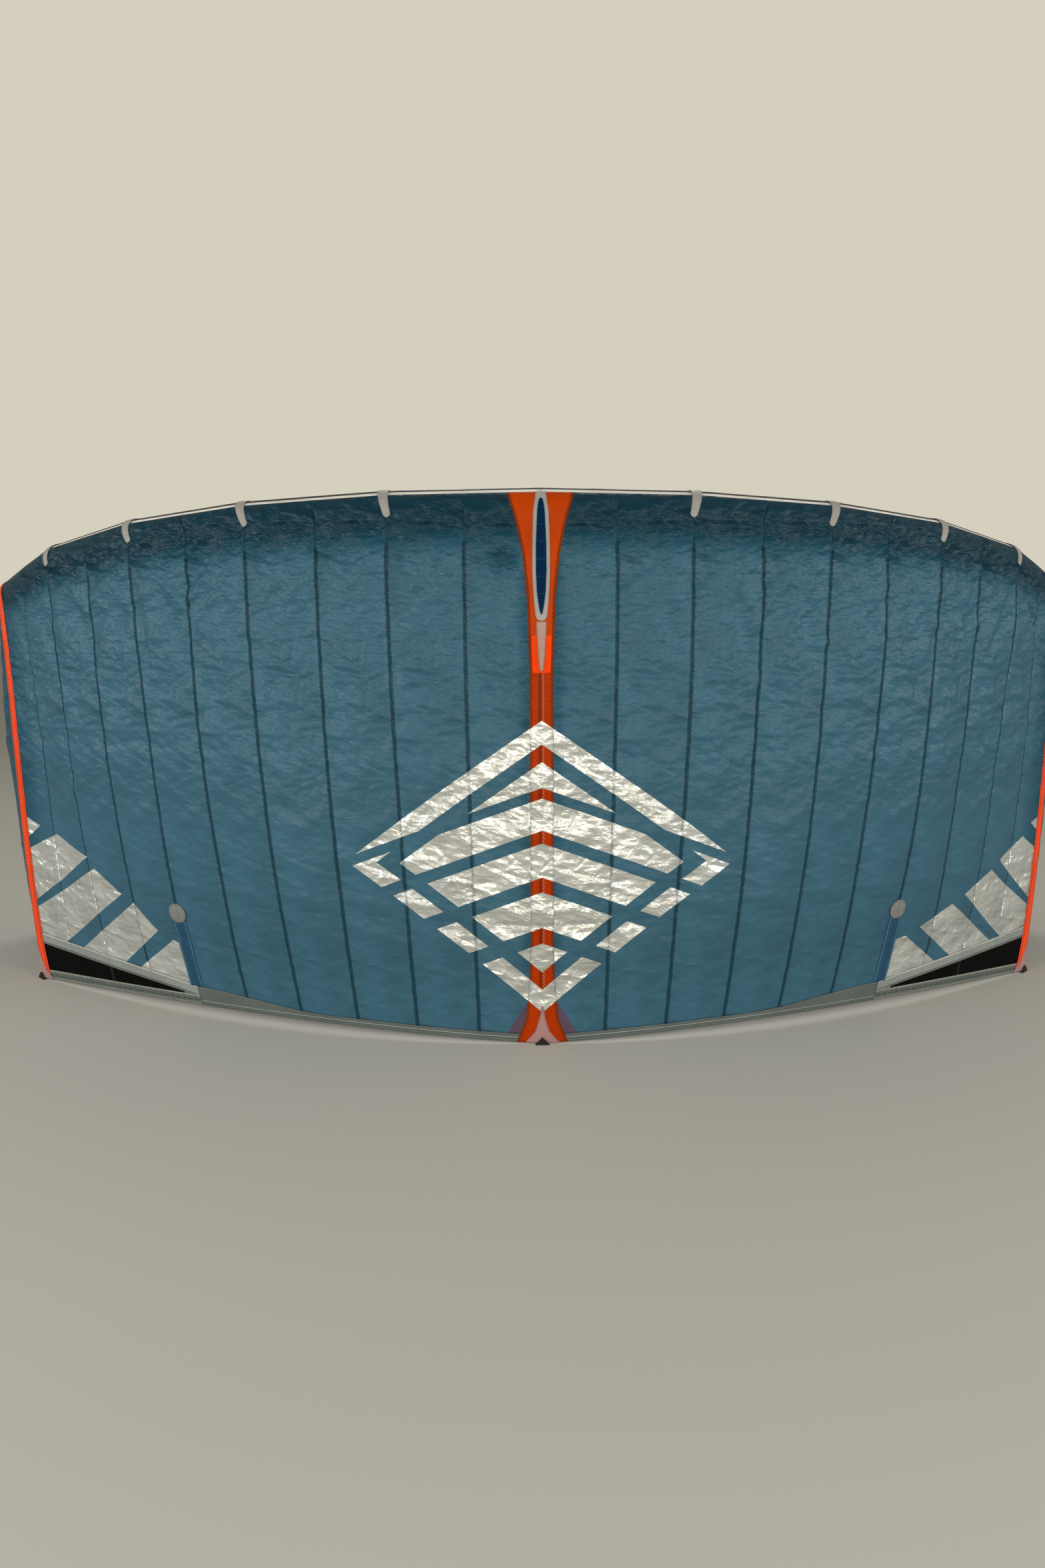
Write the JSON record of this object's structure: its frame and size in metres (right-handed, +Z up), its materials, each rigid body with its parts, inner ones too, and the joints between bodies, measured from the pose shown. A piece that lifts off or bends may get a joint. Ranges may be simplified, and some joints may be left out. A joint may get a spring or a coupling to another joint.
{
  "type": "kitesurfing kite",
  "caption": "Inflated leading-edge kitesurfing kite standing on its trailing edge, with a curved tube, struts behind, a blue canopy, an orange middle strip and grey and black hem bands.",
  "frame": {"origin": "on the floor under the middle of the kite's bounding box", "axes": "+X along the span to the viewer's right, -Y towards the viewer, out of the convex top skin, +Z up"},
  "size_m": [4.1284, 1.5476, 1.6656],
  "materials": {
    "canopy": "blue ripstop cloth with a soft sheen",
    "orange": "orange ripstop cloth",
    "facing": "pale grey sailcloth",
    "lens": "deep blue cloth",
    "tail": "translucent pinkish grey cloth",
    "tube": "white woven sailcloth",
    "strut": "pale grey woven sailcloth",
    "hem": "grey woven sailcloth",
    "dark": "black woven sailcloth",
    "pocket": "dark blue cloth",
    "patch": "translucent pinkish patch cloth",
    "foot": "tough black rubbery cloth"
  },
  "bodies": {
    "root": {"gore_right_1": "canopy", "gore_left_1": "canopy", "gore_right_2": "canopy", "gore_left_2": "canopy", "gore_right_3": "canopy", "gore_left_3": "canopy", "gore_right_4": "canopy", "gore_left_4": "canopy", "gore_right_5": "canopy", "gore_left_5": "canopy", "gore_right_6": "canopy", "gore_left_6": "canopy", "gore_right_7": "canopy", "gore_left_7": "canopy", "gore_right_8": "canopy", "gore_left_8": "canopy", "gore_right_9": "canopy", "gore_left_9": "canopy", "gore_right_10": "canopy", "gore_left_10": "canopy", "tip_right": "canopy", "upper_band_right": "hem", "dark_panel_right": "dark", "lower_band_right": "hem", "hem_right": "hem", "side_strip_right": "orange", "batten_pocket_right": "pocket", "batten_patch_right": "facing", "strut_right": "strut", "foot_patch_right": "patch", "foot_right": "foot", "tongue_right_2": "facing", "tongue_right_4": "facing", "tongue_right_6": "facing", "tongue_right_8": "facing", "tip_left": "canopy", "upper_band_left": "hem", "dark_panel_left": "dark", "lower_band_left": "hem", "hem_left": "hem", "side_strip_left": "orange", "batten_pocket_left": "pocket", "batten_patch_left": "facing", "strut_left": "strut", "foot_patch_left": "patch", "foot_left": "foot", "tongue_left_2": "facing", "tongue_left_4": "facing", "tongue_left_6": "facing", "tongue_left_8": "facing", "centre_strip": "orange", "teardrop": "facing", "teardrop_lens": "lens", "teardrop_tail": "tail", "leading_edge": "tube", "seam_tape": "dark", "strut_centre": "strut", "foot_patch_centre": "patch", "foot_centre": "foot"}
  },
  "joints": []
}
